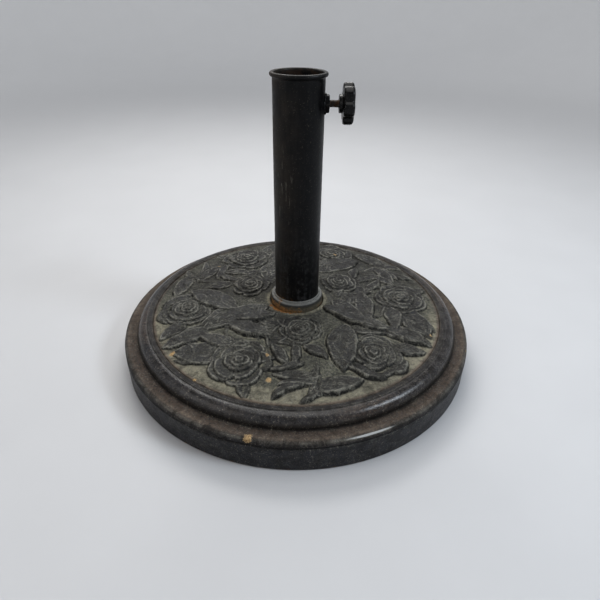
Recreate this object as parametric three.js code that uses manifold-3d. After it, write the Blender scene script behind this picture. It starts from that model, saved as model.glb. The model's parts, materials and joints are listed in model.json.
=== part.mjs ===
// Parasol base: a round weighted casting with a relief of roses and leaves, a steel pole tube
// bolted into it from below, and a clamp screw with a lobed knob that holds the parasol pole.
// Millimetres, +Z up. The origin is the centre of the underside, at the level of the ground.

import * as THREE from 'three';
import Module from 'manifold-3d';
import { mergeVertices } from 'three/addons/utils/BufferGeometryUtils.js';

const wasm = await Module();
wasm.setup();

// ---- driving dimensions ----
const GAP = 0.3;                    // running clearance between pieces that touch

// casting
const BASE_RADIUS = 229;
const BASE_SIDES = 48;
const UNDERSIDE_Z = 0.6;            // the casting stands this far off the ground, on its pads
const FOOT_CHAMFER = 1;
const FIELD_RADIUS = 189.5;         // the domed field that carries the relief
const FIELD_EDGE_Z = 54;
const FIELD_RISE = 12;              // the field is this much higher at its centre
const TORUS_FOOT_RADIUS = 211;
const TORUS_FOOT_Z = 41.5;
const TORUS_TOP_RADIUS = 198.5;
const WALL_TOP_Z = 30.8;
const LIP_RADIUS = 5;               // round lip above the groove in the side wall
const LIP_CENTRE_Z = 34.8;
const POCKET_RADIUS = 35.2;         // pocket that holds the tube's foot and its collar
const POCKET_MOUTH_RADIUS = 36.4;
const POCKET_MOUTH_DEPTH = 1.3;
const POCKET_FLOOR_Z = 30;
const NUT_POCKET_RADIUS = 10.6;     // smaller pocket below it, for the foot nut
const NUT_POCKET_FLOOR_Z = 21.4;
const RECESS_RADIUS = 22;           // hollow in the underside for the bolt head
const RECESS_TOP_Z = 16;
const BOLT_HOLE_RADIUS = 5.5;

// relief, repeated by thirds of a turn
const RELIEF_REPEATS = 3;
const RELIEF_ROOT = 3;              // how deep roses and leaves are rooted in the field
const ROSE_SIDES = 9;
const ROSES = [
  { x: 5, y: -73, radius: 27 },
  { x: -66, y: -128, radius: 37 },
  { x: 90, y: -113, radius: 37 },
];
// share of the rose's radius and height above the field, from the outer petals to the bud
const ROSE_TIERS = [
  { share: 1, top: 3.5 },
  { share: 0.7, top: 5 },
  { share: 0.35, top: 7.5 },
];
const LEAF_STATIONS = 4;
const LEAF_EDGE_SHARE = 0.75;       // height of a leaf's edge, as a share of its midrib's
// bend is how far the midrib bows to the left of the line from base to tip, and top is the
// height of the midrib above the field
const LEAVES = [
  { base: [-80, -112], tip: [-148, -106], half: 20, bend: 2, top: 2.6 },
  { base: [-118, -58], tip: [-158, -96], half: 9, bend: 3, top: 4.2 },
  { base: [-110, -76], tip: [-156, -101], half: 9, bend: -2, top: 3.8 },
  { base: [-76, -97], tip: [-119, -75], half: 12, bend: 3, top: 4 },
  { base: [-78, -44], tip: [-116, -70], half: 12, bend: -3, top: 5 },
  { base: [-86, -50], tip: [-27, -84], half: 14, bend: -4, top: 4.6 },
  { base: [-28, -36], tip: [-86, -50], half: 11, bend: 2, top: 4.4 },
  { base: [36, -20], tip: [118, -62], half: 15, bend: -3, top: 5.2 },
  { base: [62, -58], tip: [54, -142], half: 20, bend: -3, top: 4.4 },
  { base: [20, -168], tip: [76, -150], half: 13, bend: -2, top: 4.2 },
  { base: [30, -148], tip: [-30, -146], half: 9, bend: 3, top: 3.4 },
  { base: [24, -159], tip: [-22, -162], half: 7, bend: -3, top: 3.4 },
  { base: [12, -160], tip: [-28, -186], half: 7, bend: -7, top: 4 },
  { base: [22, -168], tip: [2, -188], half: 6, bend: 3, top: 3 },
  { base: [10, -127], tip: [-35, -141], half: 7, bend: 2, top: 4.2 },
  { base: [-26, -96], tip: [-8, -132], half: 8, bend: -3, top: 3.6 },
  { base: [-1, -98], tip: [-4, -134], half: 7, bend: 2, top: 3 },
  { base: [8, -100], tip: [36, -124], half: 9, bend: 2, top: 3.4 },
  { base: [62, -126], tip: [102, -152], half: 8, bend: -4, top: 4 },
  { base: [66, -68], tip: [114, -74], half: 12, bend: 3, top: 3 },
  { base: [110, -62], tip: [167, -93], half: 12, bend: 3, top: 4.4 },
  { base: [116, -94], tip: [157, -103], half: 11, bend: -2, top: 3.2 },
  { base: [126, -116], tip: [104, -144], half: 8, bend: 4, top: 3.6 },
];

// rubber pads
const PAD_COUNT = 6;
const PAD_CIRCLE_RADIUS = 196;
const PAD_RADIUS = 12;
const PAD_HEIGHT = 3.2;
const PAD_RECESS_TOP_Z = 3.5;

// pole tube
const TUBE_OUTER = 28.4;
const TUBE_INNER = 26.4;
const TUBE_SIDES = 48;
const BEAD_RADIUS = 2.4;            // rolled rim
const BEAD_CENTRE_RADIUS = 28.85;
const BEAD_CENTRE_Z = 343.7;

// foot plate, collar, weld nut and the bolt from below (M10)
const PLATE_RADIUS = 33.5;
const PLATE_FLANGE = 2.5;           // thickness of the flange under the tube and the collar
const PLATE_THICKNESS = 5;          // thickness of the raised seat inside the tube
const COLLAR_RADIUS = 34.6;
const COLLAR_TOP_Z = 75.5;
const COLLAR_LIP_Z = 78.4;
const FOOT_NUT_FLATS = 17;
const FOOT_NUT_HEIGHT = 8;
const BOLT_RADIUS = 5;
const BOLT_HEAD_FLATS = 17;
const BOLT_HEAD_HEIGHT = 6.4;
const BOLT_END_Z = 42;
const WASHER_RADIUS = 20;
const WASHER_THICKNESS = 2.5;
const SPRING_WASHER_OUTER = 9;
const SPRING_WASHER_INNER = 5.4;
const SPRING_WASHER_THICKNESS = 1.8;
const SPRING_WASHER_RISE = 0.7;     // offset between the two ends of the split
const SPRING_WASHER_GAP_DEG = 14;

// clamp screw (M8), nut, pressure tip and knob, all on one horizontal axis
const CLAMP_Z = 314.4;
const CLAMP_HOLE_RADIUS = 4.5;
const CLAMP_NUT_FLATS = 17.4;
const CLAMP_NUT_FACE_X = 33.2;
const SCREW_RADIUS = 4;
const DOG_RADIUS = 2.5;             // reduced end of the screw, inside the pressure tip
const TIP_RADIUS = 5;
const TIP_INNER_X = 21.2;
const TIP_OUTER_X = 25.4;
const TIP_BORE_X = 23;
const KNOB_HUB_X = 43.5;
const KNOB_HUB_RADIUS = 9.7;
const KNOB_BACK_X = 47.5;
const KNOB_FACE_X = 59.5;
const KNOB_RADIUS = 21.5;
const KNOB_LOBES = 6;
const KNOB_TURN_DEG = 10;           // how the knob and its screw stand at rest
const KNOB_NOTCH = 3.4;             // depth of the notches between the lobes
const KNOB_BEVEL = 2.5;
const SCREW_HEAD_FLATS = 13;
const SCREW_HEAD_X = 51.2;
const SCREW_HEAD_HEIGHT = 5.3;
const CAP_RADIUS = 9;
const CAP_THICKNESS = 2.4;

// heights that follow from the stack of touching pieces
const PLATE_Z = POCKET_FLOOR_Z + GAP;
const TUBE_FOOT_Z = PLATE_Z + PLATE_FLANGE + GAP;
const WASHER_TOP_Z = RECESS_TOP_Z - GAP;
const SPRING_WASHER_TOP_Z = WASHER_TOP_Z - WASHER_THICKNESS - GAP;
const BOLT_HEAD_TOP_Z = SPRING_WASHER_TOP_Z - SPRING_WASHER_THICKNESS - SPRING_WASHER_RISE - GAP;

// ---- helpers ----
const radians = THREE.MathUtils.degToRad;
const point = (r, z) => new THREE.Vector2(r, z);

// points on an arc in the radius-height plane, angles in degrees from +radius towards +Z
function arc(centreR, centreZ, radiusR, radiusZ, from, to, steps) {
  const points = [];
  for (let i = 0; i <= steps; i += 1) {
    const angle = radians(from + ((to - from) * i) / steps);
    points.push(point(centreR + radiusR * Math.cos(angle), centreZ + radiusZ * Math.sin(angle)));
  }
  return points;
}

// turns a profile of (radius, height) points about the Z axis
function turned(profile, sides) {
  return new THREE.LatheGeometry(profile, sides).rotateX(Math.PI / 2);
}

// turns a profile of (radius, distance along X) points about the X axis
function turnedAboutX(profile, sides) {
  return turned(profile, sides).rotateY(Math.PI / 2);
}

function ringProfile(inner, outer, from, to) {
  return [point(inner, from), point(outer, from), point(outer, to), point(inner, to), point(inner, from)];
}

function rodProfile(radius, from, to) {
  return [point(0, from), point(radius, from), point(radius, to), point(0, to)];
}

// prism with flat sides, from one height to another, with an optional round hole
function hexPrism(flats, from, to, holeRadius) {
  const corner = flats / Math.sqrt(3);
  const outline = new THREE.Shape();
  for (let i = 0; i < 6; i += 1) {
    const angle = radians(60 * i);
    const place = point(corner * Math.cos(angle), corner * Math.sin(angle));
    if (i === 0) outline.moveTo(place.x, place.y);
    else outline.lineTo(place.x, place.y);
  }
  outline.closePath();
  if (holeRadius) outline.holes.push(new THREE.Path().absarc(0, 0, holeRadius, 0, 2 * Math.PI));
  const options = { depth: to - from, bevelEnabled: false, curveSegments: 12 };
  return new THREE.ExtrudeGeometry(outline, options).translate(0, 0, from);
}

// closed solid through a row of rings, each an equal number of [x, y, z] points that run
// clockwise when looking along the row
function lofted(rings) {
  const sides = rings[0].length;
  const index = [];
  for (let i = 0; i + 1 < rings.length; i += 1) {
    for (let j = 0; j < sides; j += 1) {
      const a = i * sides + j;
      const b = i * sides + ((j + 1) % sides);
      index.push(a, b, b + sides, a, b + sides, a + sides);
    }
  }
  const last = (rings.length - 1) * sides;
  for (let j = 1; j + 1 < sides; j += 1) {
    index.push(0, j + 1, j);
    index.push(last, last + j, last + j + 1);
  }
  const geometry = new THREE.BufferGeometry();
  geometry.setAttribute('position', new THREE.Float32BufferAttribute(rings.flat(2), 3));
  geometry.setIndex(index);
  return geometry;
}

function toSolid(geometry) {
  const bare = geometry.clone();
  bare.deleteAttribute('normal');
  bare.deleteAttribute('uv');
  const merged = mergeVertices(bare, 1e-3);
  const options = {
    numProp: 3,
    vertProperties: new Float32Array(merged.attributes.position.array),
    triVerts: new Uint32Array(merged.index.array),
  };
  return new wasm.Manifold(new wasm.Mesh(options));
}

function toGeometry(solid) {
  const mesh = solid.getMesh();
  const geometry = new THREE.BufferGeometry();
  geometry.setAttribute('position', new THREE.BufferAttribute(mesh.vertProperties, 3));
  geometry.setIndex(new THREE.BufferAttribute(mesh.triVerts, 1));
  geometry.computeVertexNormals();
  return geometry;
}

function cut(geometry, ...tools) {
  let solid = toSolid(geometry);
  for (const tool of tools) solid = solid.subtract(toSolid(tool));
  return toGeometry(solid);
}

// ---- casting ----
function fieldHeight(radius) {
  return FIELD_EDGE_Z + FIELD_RISE * (1 - (radius / FIELD_RADIUS) ** 2);
}

function fieldProfile() {
  const points = [];
  const steps = 3;
  for (let i = 0; i <= steps; i += 1) {
    const radius = FIELD_RADIUS + ((POCKET_MOUTH_RADIUS - FIELD_RADIUS) * i) / steps;
    points.push(point(radius, fieldHeight(radius)));
  }
  return points;
}

function castingProfile() {
  const torusWidth = TORUS_FOOT_RADIUS - TORUS_TOP_RADIUS;
  const torusHeight = FIELD_EDGE_Z - TORUS_FOOT_Z;
  const lipCentre = BASE_RADIUS - LIP_RADIUS;
  return [
    point(BOLT_HOLE_RADIUS, RECESS_TOP_Z),
    point(RECESS_RADIUS, RECESS_TOP_Z),
    point(RECESS_RADIUS, UNDERSIDE_Z),
    point(BASE_RADIUS - FOOT_CHAMFER, UNDERSIDE_Z),
    point(BASE_RADIUS, UNDERSIDE_Z + FOOT_CHAMFER),
    point(BASE_RADIUS, WALL_TOP_Z),
    point(BASE_RADIUS - 1.4, WALL_TOP_Z + 1.5),
    ...arc(lipCentre, LIP_CENTRE_Z, LIP_RADIUS, LIP_RADIUS, 0, 90, 2),
    point(TORUS_FOOT_RADIUS + 6, LIP_CENTRE_Z + LIP_RADIUS - 0.4),
    ...arc(TORUS_TOP_RADIUS, TORUS_FOOT_Z, torusWidth, torusHeight, 0, 90, 3),
    point(TORUS_TOP_RADIUS - 1, FIELD_EDGE_Z + 0.8),
    point(FIELD_RADIUS + 2, FIELD_EDGE_Z + 0.8),
    point(FIELD_RADIUS + 1, FIELD_EDGE_Z - 0.8),
    ...fieldProfile(),
    point(POCKET_RADIUS, fieldHeight(POCKET_MOUTH_RADIUS) - POCKET_MOUTH_DEPTH),
    point(POCKET_RADIUS, POCKET_FLOOR_Z),
    point(NUT_POCKET_RADIUS, POCKET_FLOOR_Z),
    point(NUT_POCKET_RADIUS, NUT_POCKET_FLOOR_Z),
    point(BOLT_HOLE_RADIUS, NUT_POCKET_FLOOR_Z),
    point(BOLT_HOLE_RADIUS, RECESS_TOP_Z),
  ];
}

// three stacked tiers of petals, each turned against the one below
function roseSolid(rose) {
  const ground = fieldHeight(Math.hypot(rose.x, rose.y));
  let solid = null;
  ROSE_TIERS.forEach((tier, level) => {
    const radius = rose.radius * tier.share;
    const height = RELIEF_ROOT + tier.top;
    const geometry = new THREE.CylinderGeometry(radius * 0.82, radius, height, ROSE_SIDES);
    geometry.rotateX(Math.PI / 2).rotateZ(level * 0.4);
    geometry.translate(rose.x, rose.y, ground - RELIEF_ROOT + height / 2);
    const tierSolid = toSolid(geometry);
    solid = solid ? solid.add(tierSolid) : tierSolid;
  });
  return solid;
}

// a leaf with a raised midrib, laid over the dome of the field
function leafSolid(leaf) {
  const base = new THREE.Vector2(...leaf.base);
  const tip = new THREE.Vector2(...leaf.tip);
  const left = tip.clone().sub(base).normalize().rotateAround(point(0, 0), Math.PI / 2);
  const middle = base.clone().add(tip).multiplyScalar(0.5).addScaledVector(left, 2 * leaf.bend);
  const spine = new THREE.QuadraticBezierCurve(base, middle, tip);
  const rings = [];
  for (let i = 0; i <= LEAF_STATIONS; i += 1) {
    const t = i / LEAF_STATIONS;
    const centre = spine.getPoint(t);
    const along = spine.getTangent(t);
    const half = 0.6 + leaf.half * Math.sin(Math.PI * t ** 0.75);
    const edge = leaf.top * LEAF_EDGE_SHARE;
    const section = [[half, -RELIEF_ROOT], [-half, -RELIEF_ROOT], [-half, edge], [0, leaf.top],
      [half, edge]];
    rings.push(section.map(([side, rise]) => {
      const x = centre.x + along.y * side;
      const y = centre.y - along.x * side;
      return [x, y, fieldHeight(Math.hypot(x, y)) + rise];
    }));
  }
  return toSolid(lofted(rings));
}

function baseCasting() {
  let casting = toSolid(turned(castingProfile(), BASE_SIDES));
  for (let i = 0; i < RELIEF_REPEATS; i += 1) {
    const turn = [0, 0, (360 * i) / RELIEF_REPEATS];
    for (const rose of ROSES) casting = casting.add(roseSolid(rose).rotate(turn));
    for (const leaf of LEAVES) casting = casting.add(leafSolid(leaf).rotate(turn));
  }
  for (const place of padPlaces()) {
    const recess = turned(rodProfile(PAD_RADIUS + GAP, 0, PAD_RECESS_TOP_Z), 16);
    casting = casting.subtract(toSolid(recess.translate(place.x, place.y, 0)));
  }
  return toGeometry(casting);
}

// ---- pads ----
function padPlaces() {
  const places = [];
  for (let i = 0; i < PAD_COUNT; i += 1) {
    const angle = radians((360 * (i + 0.5)) / PAD_COUNT);
    places.push(point(PAD_CIRCLE_RADIUS * Math.cos(angle), PAD_CIRCLE_RADIUS * Math.sin(angle)));
  }
  return places;
}

function rubberPad() {
  const profile = [point(0, 0), point(PAD_RADIUS - 1, 0), point(PAD_RADIUS, 1),
    point(PAD_RADIUS, PAD_HEIGHT), point(0, PAD_HEIGHT)];
  return turned(profile, 16);
}

// ---- pole tube and its fixing ----
function poleTube() {
  const profile = [
    point(TUBE_INNER, TUBE_FOOT_Z),
    point(TUBE_OUTER, TUBE_FOOT_Z),
    point(TUBE_OUTER, BEAD_CENTRE_Z - BEAD_RADIUS - 0.4),
    ...arc(BEAD_CENTRE_RADIUS, BEAD_CENTRE_Z, BEAD_RADIUS, BEAD_RADIUS, -75, 180, 7),
    point(TUBE_INNER, BEAD_CENTRE_Z - 1),
    point(TUBE_INNER, TUBE_FOOT_Z),
  ];
  const hole = turnedAboutX(rodProfile(CLAMP_HOLE_RADIUS, 0, TUBE_OUTER + 5), 20);
  return cut(turned(profile, TUBE_SIDES), hole.translate(0, 0, CLAMP_Z));
}

// stepped disc under the tube, which the bolt pulls down against the floor of the pocket
function footPlate() {
  const inner = BOLT_RADIUS + GAP;
  const seat = TUBE_INNER - GAP;
  return turned([
    point(inner, PLATE_Z),
    point(PLATE_RADIUS, PLATE_Z),
    point(PLATE_RADIUS, PLATE_Z + PLATE_FLANGE),
    point(seat, PLATE_Z + PLATE_FLANGE),
    point(seat, PLATE_Z + PLATE_THICKNESS),
    point(inner, PLATE_Z + PLATE_THICKNESS),
    point(inner, PLATE_Z),
  ], 32);
}

// sleeve that centres the tube in the pocket, with a rounded shoulder and a thin lip on top
function tubeCollar() {
  const inner = TUBE_OUTER + GAP;
  return turned([
    point(inner, TUBE_FOOT_Z),
    point(COLLAR_RADIUS, TUBE_FOOT_Z),
    point(COLLAR_RADIUS, COLLAR_TOP_Z - 3),
    point(COLLAR_RADIUS - 1.6, COLLAR_TOP_Z),
    point(COLLAR_RADIUS - 3.8, COLLAR_TOP_Z),
    point(COLLAR_RADIUS - 4.4, COLLAR_LIP_Z),
    point(inner, COLLAR_LIP_Z),
    point(inner, TUBE_FOOT_Z),
  ], TUBE_SIDES);
}

// nut on the underside of the plate
function footNut() {
  const top = PLATE_Z - GAP;
  return hexPrism(FOOT_NUT_FLATS, top - FOOT_NUT_HEIGHT, top, BOLT_RADIUS + GAP);
}

function mountingWasher() {
  const from = WASHER_TOP_Z - WASHER_THICKNESS;
  return turned(ringProfile(BOLT_RADIUS + GAP, WASHER_RADIUS, from, WASHER_TOP_Z), 32);
}

// a split ring whose two ends stand at different heights
function springWasher() {
  const rings = [];
  const steps = 20;
  const middle = (SPRING_WASHER_OUTER + SPRING_WASHER_INNER) / 2;
  const halfWidth = (SPRING_WASHER_OUTER - SPRING_WASHER_INNER) / 2;
  for (let i = 0; i <= steps; i += 1) {
    const angle = radians(SPRING_WASHER_GAP_DEG / 2 + ((360 - SPRING_WASHER_GAP_DEG) * i) / steps);
    const top = SPRING_WASHER_TOP_Z - SPRING_WASHER_RISE * (1 - i / steps);
    const section = [[1, 1], [1, 0], [-1, 0], [-1, 1]];
    rings.push(section.map(([side, up]) => {
      const radius = middle + side * halfWidth;
      const z = top - (1 - up) * SPRING_WASHER_THICKNESS;
      return [radius * Math.cos(angle), radius * Math.sin(angle), z];
    }));
  }
  return lofted(rings);
}

function mountingBolt() {
  const head = hexPrism(BOLT_HEAD_FLATS, BOLT_HEAD_TOP_Z - BOLT_HEAD_HEIGHT, BOLT_HEAD_TOP_Z, 0);
  const shank = turned([
    point(0, BOLT_HEAD_TOP_Z - 1),
    point(BOLT_RADIUS, BOLT_HEAD_TOP_Z - 1),
    point(BOLT_RADIUS, BOLT_END_Z - 1),
    point(BOLT_RADIUS - 1, BOLT_END_Z),
    point(0, BOLT_END_Z),
  ], 24);
  return toGeometry(toSolid(head).add(toSolid(shank)));
}

// ---- clamp ----
// turns a piece built along Z into one along X, on the clamp's axis
function alongClamp(geometry) {
  return geometry.rotateY(Math.PI / 2).translate(0, 0, CLAMP_Z);
}

// hexagonal nut whose back follows the tube it is welded to
function clampNut() {
  const prism = hexPrism(CLAMP_NUT_FLATS, TUBE_INNER - 2, CLAMP_NUT_FACE_X, SCREW_RADIUS + GAP);
  const upright = alongClamp(prism.rotateZ(Math.PI / 2));
  const tube = turned(rodProfile(TUBE_OUTER + GAP, CLAMP_Z - 30, CLAMP_Z + 30), TUBE_SIDES);
  return cut(upright, tube);
}

function clampScrew() {
  const shank = turned([
    point(0, TIP_BORE_X + GAP),
    point(DOG_RADIUS, TIP_BORE_X + GAP),
    point(DOG_RADIUS, TIP_OUTER_X + GAP),
    point(SCREW_RADIUS, TIP_OUTER_X + GAP),
    point(SCREW_RADIUS, SCREW_HEAD_X + 1),
    point(0, SCREW_HEAD_X + 1),
  ], 24);
  const head = hexPrism(SCREW_HEAD_FLATS, SCREW_HEAD_X, SCREW_HEAD_X + SCREW_HEAD_HEIGHT, 0);
  return alongClamp(toGeometry(toSolid(shank).add(toSolid(head))).rotateZ(radians(KNOB_TURN_DEG)));
}

function screwTip() {
  const profile = [
    point(0, TIP_INNER_X),
    point(TIP_RADIUS - 1, TIP_INNER_X),
    point(TIP_RADIUS, TIP_INNER_X + 1),
    point(TIP_RADIUS, TIP_OUTER_X),
    point(DOG_RADIUS + GAP, TIP_OUTER_X),
    point(DOG_RADIUS + GAP, TIP_BORE_X),
    point(0, TIP_BORE_X),
  ];
  return alongClamp(turned(profile, 24));
}

function knobOutline(inset) {
  const outline = [];
  const steps = KNOB_LOBES * 10;
  for (let i = 0; i < steps; i += 1) {
    const angle = (2 * Math.PI * i) / steps;
    const notch = ((1 - Math.cos(KNOB_LOBES * angle)) / 2) ** 3;
    const radius = KNOB_RADIUS - inset - KNOB_NOTCH * notch;
    outline.push([radius * Math.cos(angle), radius * Math.sin(angle)]);
  }
  return outline;
}

// lobed head with rounded edges, a hub, and a stepped pocket for the screw head and the cap
function knobHead() {
  const levels = [[KNOB_BACK_X, KNOB_BEVEL], [KNOB_BACK_X + 1, 0.7], [KNOB_BACK_X + KNOB_BEVEL, 0],
    [KNOB_FACE_X - KNOB_BEVEL, 0], [KNOB_FACE_X - 0.8, 1], [KNOB_FACE_X, KNOB_BEVEL + 1]];
  const rings = levels.map(([level, inset]) => knobOutline(inset).map(([x, y]) => [x, y, level]));
  const head = toSolid(lofted(rings));
  const hub = toSolid(turned(rodProfile(KNOB_HUB_RADIUS, KNOB_HUB_X, KNOB_BACK_X + 1), 32));
  const pocketTop = SCREW_HEAD_X + SCREW_HEAD_HEIGHT;
  const bore = turned(rodProfile(SCREW_RADIUS + GAP, KNOB_HUB_X - 1, SCREW_HEAD_X), 24);
  const pocket = hexPrism(SCREW_HEAD_FLATS + 2 * GAP, SCREW_HEAD_X - GAP, pocketTop + 1, 0);
  const capSeat = turned(rodProfile(CAP_RADIUS + GAP, pocketTop, KNOB_FACE_X + 1), 32);
  const knob = head.add(hub).subtract(toSolid(bore)).subtract(toSolid(pocket)).subtract(toSolid(capSeat));
  return alongClamp(toGeometry(knob).rotateZ(radians(KNOB_TURN_DEG)));
}

function knobCap() {
  const from = SCREW_HEAD_X + SCREW_HEAD_HEIGHT + GAP;
  const profile = [
    point(0, from),
    point(CAP_RADIUS, from),
    point(CAP_RADIUS, from + CAP_THICKNESS - 0.6),
    point(CAP_RADIUS - 1, from + CAP_THICKNESS),
    point(0, from + CAP_THICKNESS + 0.3),
  ];
  return alongClamp(turned(profile, 32));
}

// ---- assembly ----
const FINISHES = {
  casting: { color: 0x3a3a37, roughness: 0.75, metalness: 0.1 },
  tubePaint: { color: 0x141517, roughness: 0.4, metalness: 0.3 },
  zincSteel: { color: 0x8d8f90, roughness: 0.4, metalness: 0.9 },
  rustySteel: { color: 0x5a4030, roughness: 0.7, metalness: 0.6 },
  blackSteel: { color: 0x1b1b1c, roughness: 0.5, metalness: 0.5 },
  knobPlastic: { color: 0x0d0d0f, roughness: 0.45, metalness: 0 },
  nylon: { color: 0xd8d6cc, roughness: 0.5, metalness: 0 },
  rubber: { color: 0x1a1a1a, roughness: 0.9, metalness: 0 },
};

const parasolBase = new THREE.Group();

function place(name, geometry, finish) {
  const mesh = new THREE.Mesh(geometry, new THREE.MeshStandardMaterial(FINISHES[finish]));
  mesh.name = name;
  parasolBase.add(mesh);
  return mesh;
}

place('base_casting', baseCasting(), 'casting');
place('pole_tube', poleTube(), 'tubePaint');
place('tube_foot_plate', footPlate(), 'zincSteel');
place('tube_collar', tubeCollar(), 'blackSteel');
place('foot_weld_nut', footNut(), 'zincSteel');
place('mounting_washer', mountingWasher(), 'zincSteel');
place('spring_washer', springWasher(), 'zincSteel');
place('mounting_bolt', mountingBolt(), 'zincSteel');
place('clamp_weld_nut', clampNut(), 'blackSteel');
place('clamp_screw', clampScrew(), 'rustySteel');
place('screw_tip', screwTip(), 'nylon');
place('knob_head', knobHead(), 'knobPlastic');
place('knob_cap', knobCap(), 'knobPlastic');
padPlaces().forEach((spot, i) => {
  place(`rubber_pad_${i + 1}`, rubberPad(), 'rubber').position.set(spot.x, spot.y, 0);
});

export default parasolBase;
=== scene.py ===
import json
import math

import bpy
import numpy as np
from mathutils import Matrix, Vector


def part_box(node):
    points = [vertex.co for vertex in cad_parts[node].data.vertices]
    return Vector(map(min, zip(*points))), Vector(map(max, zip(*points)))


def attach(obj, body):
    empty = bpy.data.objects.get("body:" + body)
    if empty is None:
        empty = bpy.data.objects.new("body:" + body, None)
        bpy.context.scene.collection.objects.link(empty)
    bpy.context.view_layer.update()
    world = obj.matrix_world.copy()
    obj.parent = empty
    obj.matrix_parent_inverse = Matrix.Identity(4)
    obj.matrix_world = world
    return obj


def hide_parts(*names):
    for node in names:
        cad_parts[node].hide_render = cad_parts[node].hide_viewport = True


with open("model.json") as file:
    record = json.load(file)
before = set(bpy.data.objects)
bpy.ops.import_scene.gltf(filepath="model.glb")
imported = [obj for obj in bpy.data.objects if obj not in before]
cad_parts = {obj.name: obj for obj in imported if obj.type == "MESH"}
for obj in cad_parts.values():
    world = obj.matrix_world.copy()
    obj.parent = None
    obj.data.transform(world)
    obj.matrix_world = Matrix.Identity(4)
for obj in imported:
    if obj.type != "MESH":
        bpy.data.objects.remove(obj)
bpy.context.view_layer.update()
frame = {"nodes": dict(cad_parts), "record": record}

# Lengths in this script are in millimetres; MM turns them into metres.
MM = 0.001
RNG = np.random.default_rng(18)


def span(node):
    """the two corners of a CAD node's box, in millimetres"""
    low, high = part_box(node)
    return np.array(low) / MM, np.array(high) / MM


JOINTS = {j["name"]: j for j in frame["record"]["behaviour"]["joints"]}
# the clamp's axis is parallel to X, at this height
CLAMP_Z = JOINTS["screw_turn"]["pos_m"][2] / MM
BASE_R = span("base_casting")[1][0]
UNDER_Z = span("base_casting")[0][2]
# the domed field of the relief, and the pocket in its middle where the collar sits
FIELD_R, FIELD_EDGE_Z, FIELD_RISE = BASE_R - 39.5, 54.0, 12.0
MOUTH_R, POCKET_R = 36.4, 35.2
TUBE_R, TUBE_IN = 28.4, 26.4
TUBE_TOP = span("pole_tube")[1][2]


# ---------------------------------------------------------------- numbers
def smooth(low, high, value):
    """0 up to low and 1 from high on, or the other way round where low is the larger"""
    t = np.clip((value - low) / (high - low), 0, 1)
    return t * t * (3 - 2 * t)


def bell(value, centre, width):
    """1 at the centre, falling to 0 a few widths away"""
    return np.exp(-(((value - centre) / width) ** 2))


def offset(angle, at):
    """degrees from at to angle, between -180 and 180"""
    return (angle - at + 180) % 360 - 180


def waves(points, size, count=14):
    """smooth noise, mostly between -1 and 1, with features of about the given size"""
    total = np.zeros(len(points))
    for _ in range(count):
        direction = RNG.normal(size=3)
        direction /= np.linalg.norm(direction)
        k = 2 * math.pi / (size * RNG.uniform(0.7, 1.7))
        total += np.sin(points @ direction * k + RNG.uniform(0, 6.28))
    return total / math.sqrt(count)


# ---------------------------------------------------------------- meshes
def smooth_mesh(name, points, faces):
    mesh = bpy.data.meshes.new(name)
    mesh.from_pydata((np.asarray(points) * MM).tolist(), [], faces)
    mesh.update()
    mesh.polygons.foreach_set("use_smooth", [True] * len(mesh.polygons))
    return mesh


def linked(name, data):
    """an object in the scene, for a mesh, a lamp or a camera"""
    obj = bpy.data.objects.new(name, data)
    bpy.context.scene.collection.objects.link(obj)
    return obj


def mesh_object(name, points, faces, body, attributes=None):
    mesh = smooth_mesh(name, points, faces)
    for key, values in (attributes or {}).items():
        layer = mesh.attributes.new(key, "FLOAT", "POINT")
        layer.data.foreach_set("value", np.asarray(values, np.float32))
    obj = linked(name, mesh)
    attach(obj, body)
    return obj


def strip(first, second):
    """quads between two closed rows of vertex numbers"""
    n = len(first)
    return [(first[j], first[(j + 1) % n], second[(j + 1) % n], second[j]) for j in range(n)]


def stitch(wide, narrow):
    """triangles between a closed row and one with half as many points"""
    faces = []
    for j in range(len(narrow)):
        following = narrow[(j + 1) % len(narrow)]
        beyond = wide[(2 * j + 2) % len(wide)]
        faces.append((wide[2 * j], wide[2 * j + 1], narrow[j]))
        faces.append((wide[2 * j + 1], following, narrow[j]))
        faces.append((wide[2 * j + 1], beyond, following))
    return faces


def ringed(rings, closed):
    """points and faces of a solid through rings of points, which either closes by joining its
    last ring to its first, or has a flat face over each end"""
    count, sides = len(rings), len(rings[0])
    points = np.concatenate(rings)
    rows = [list(range(i * sides, (i + 1) * sides)) for i in range(count)]
    faces = []
    for i in range(count - 1 + int(closed)):
        faces += strip(rows[i], rows[(i + 1) % count])
    if not closed:
        faces += [tuple(reversed(rows[0])), tuple(rows[-1])]
    return points, faces


def fillet(points, radii, steps=4):
    """rounds each corner of a closed profile by its own radius"""
    points = [np.array(p, float) for p in points]
    out = []
    for i, corner in enumerate(points):
        before, after = points[i - 1], points[(i + 1) % len(points)]
        a, b = before - corner, after - corner
        reach = min(radii[i], np.linalg.norm(a) * 0.45, np.linalg.norm(b) * 0.45)
        if reach < 0.02:
            out.append(corner)
            continue
        start = corner + a / np.linalg.norm(a) * reach
        end = corner + b / np.linalg.norm(b) * reach
        for s in np.linspace(0, 1, steps + 1):
            out.append((1 - s) ** 2 * start + 2 * s * (1 - s) * corner + s * s * end)
    return out


def resample(profile, step):
    """splits the long edges of a closed profile"""
    out = []
    for i, point in enumerate(profile):
        a, b = np.array(point, float), np.array(profile[(i + 1) % len(profile)], float)
        parts = max(1, int(round(np.linalg.norm(b - a) / step)))
        out += [a + (b - a) * k / parts for k in range(parts)]
    return out


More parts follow.
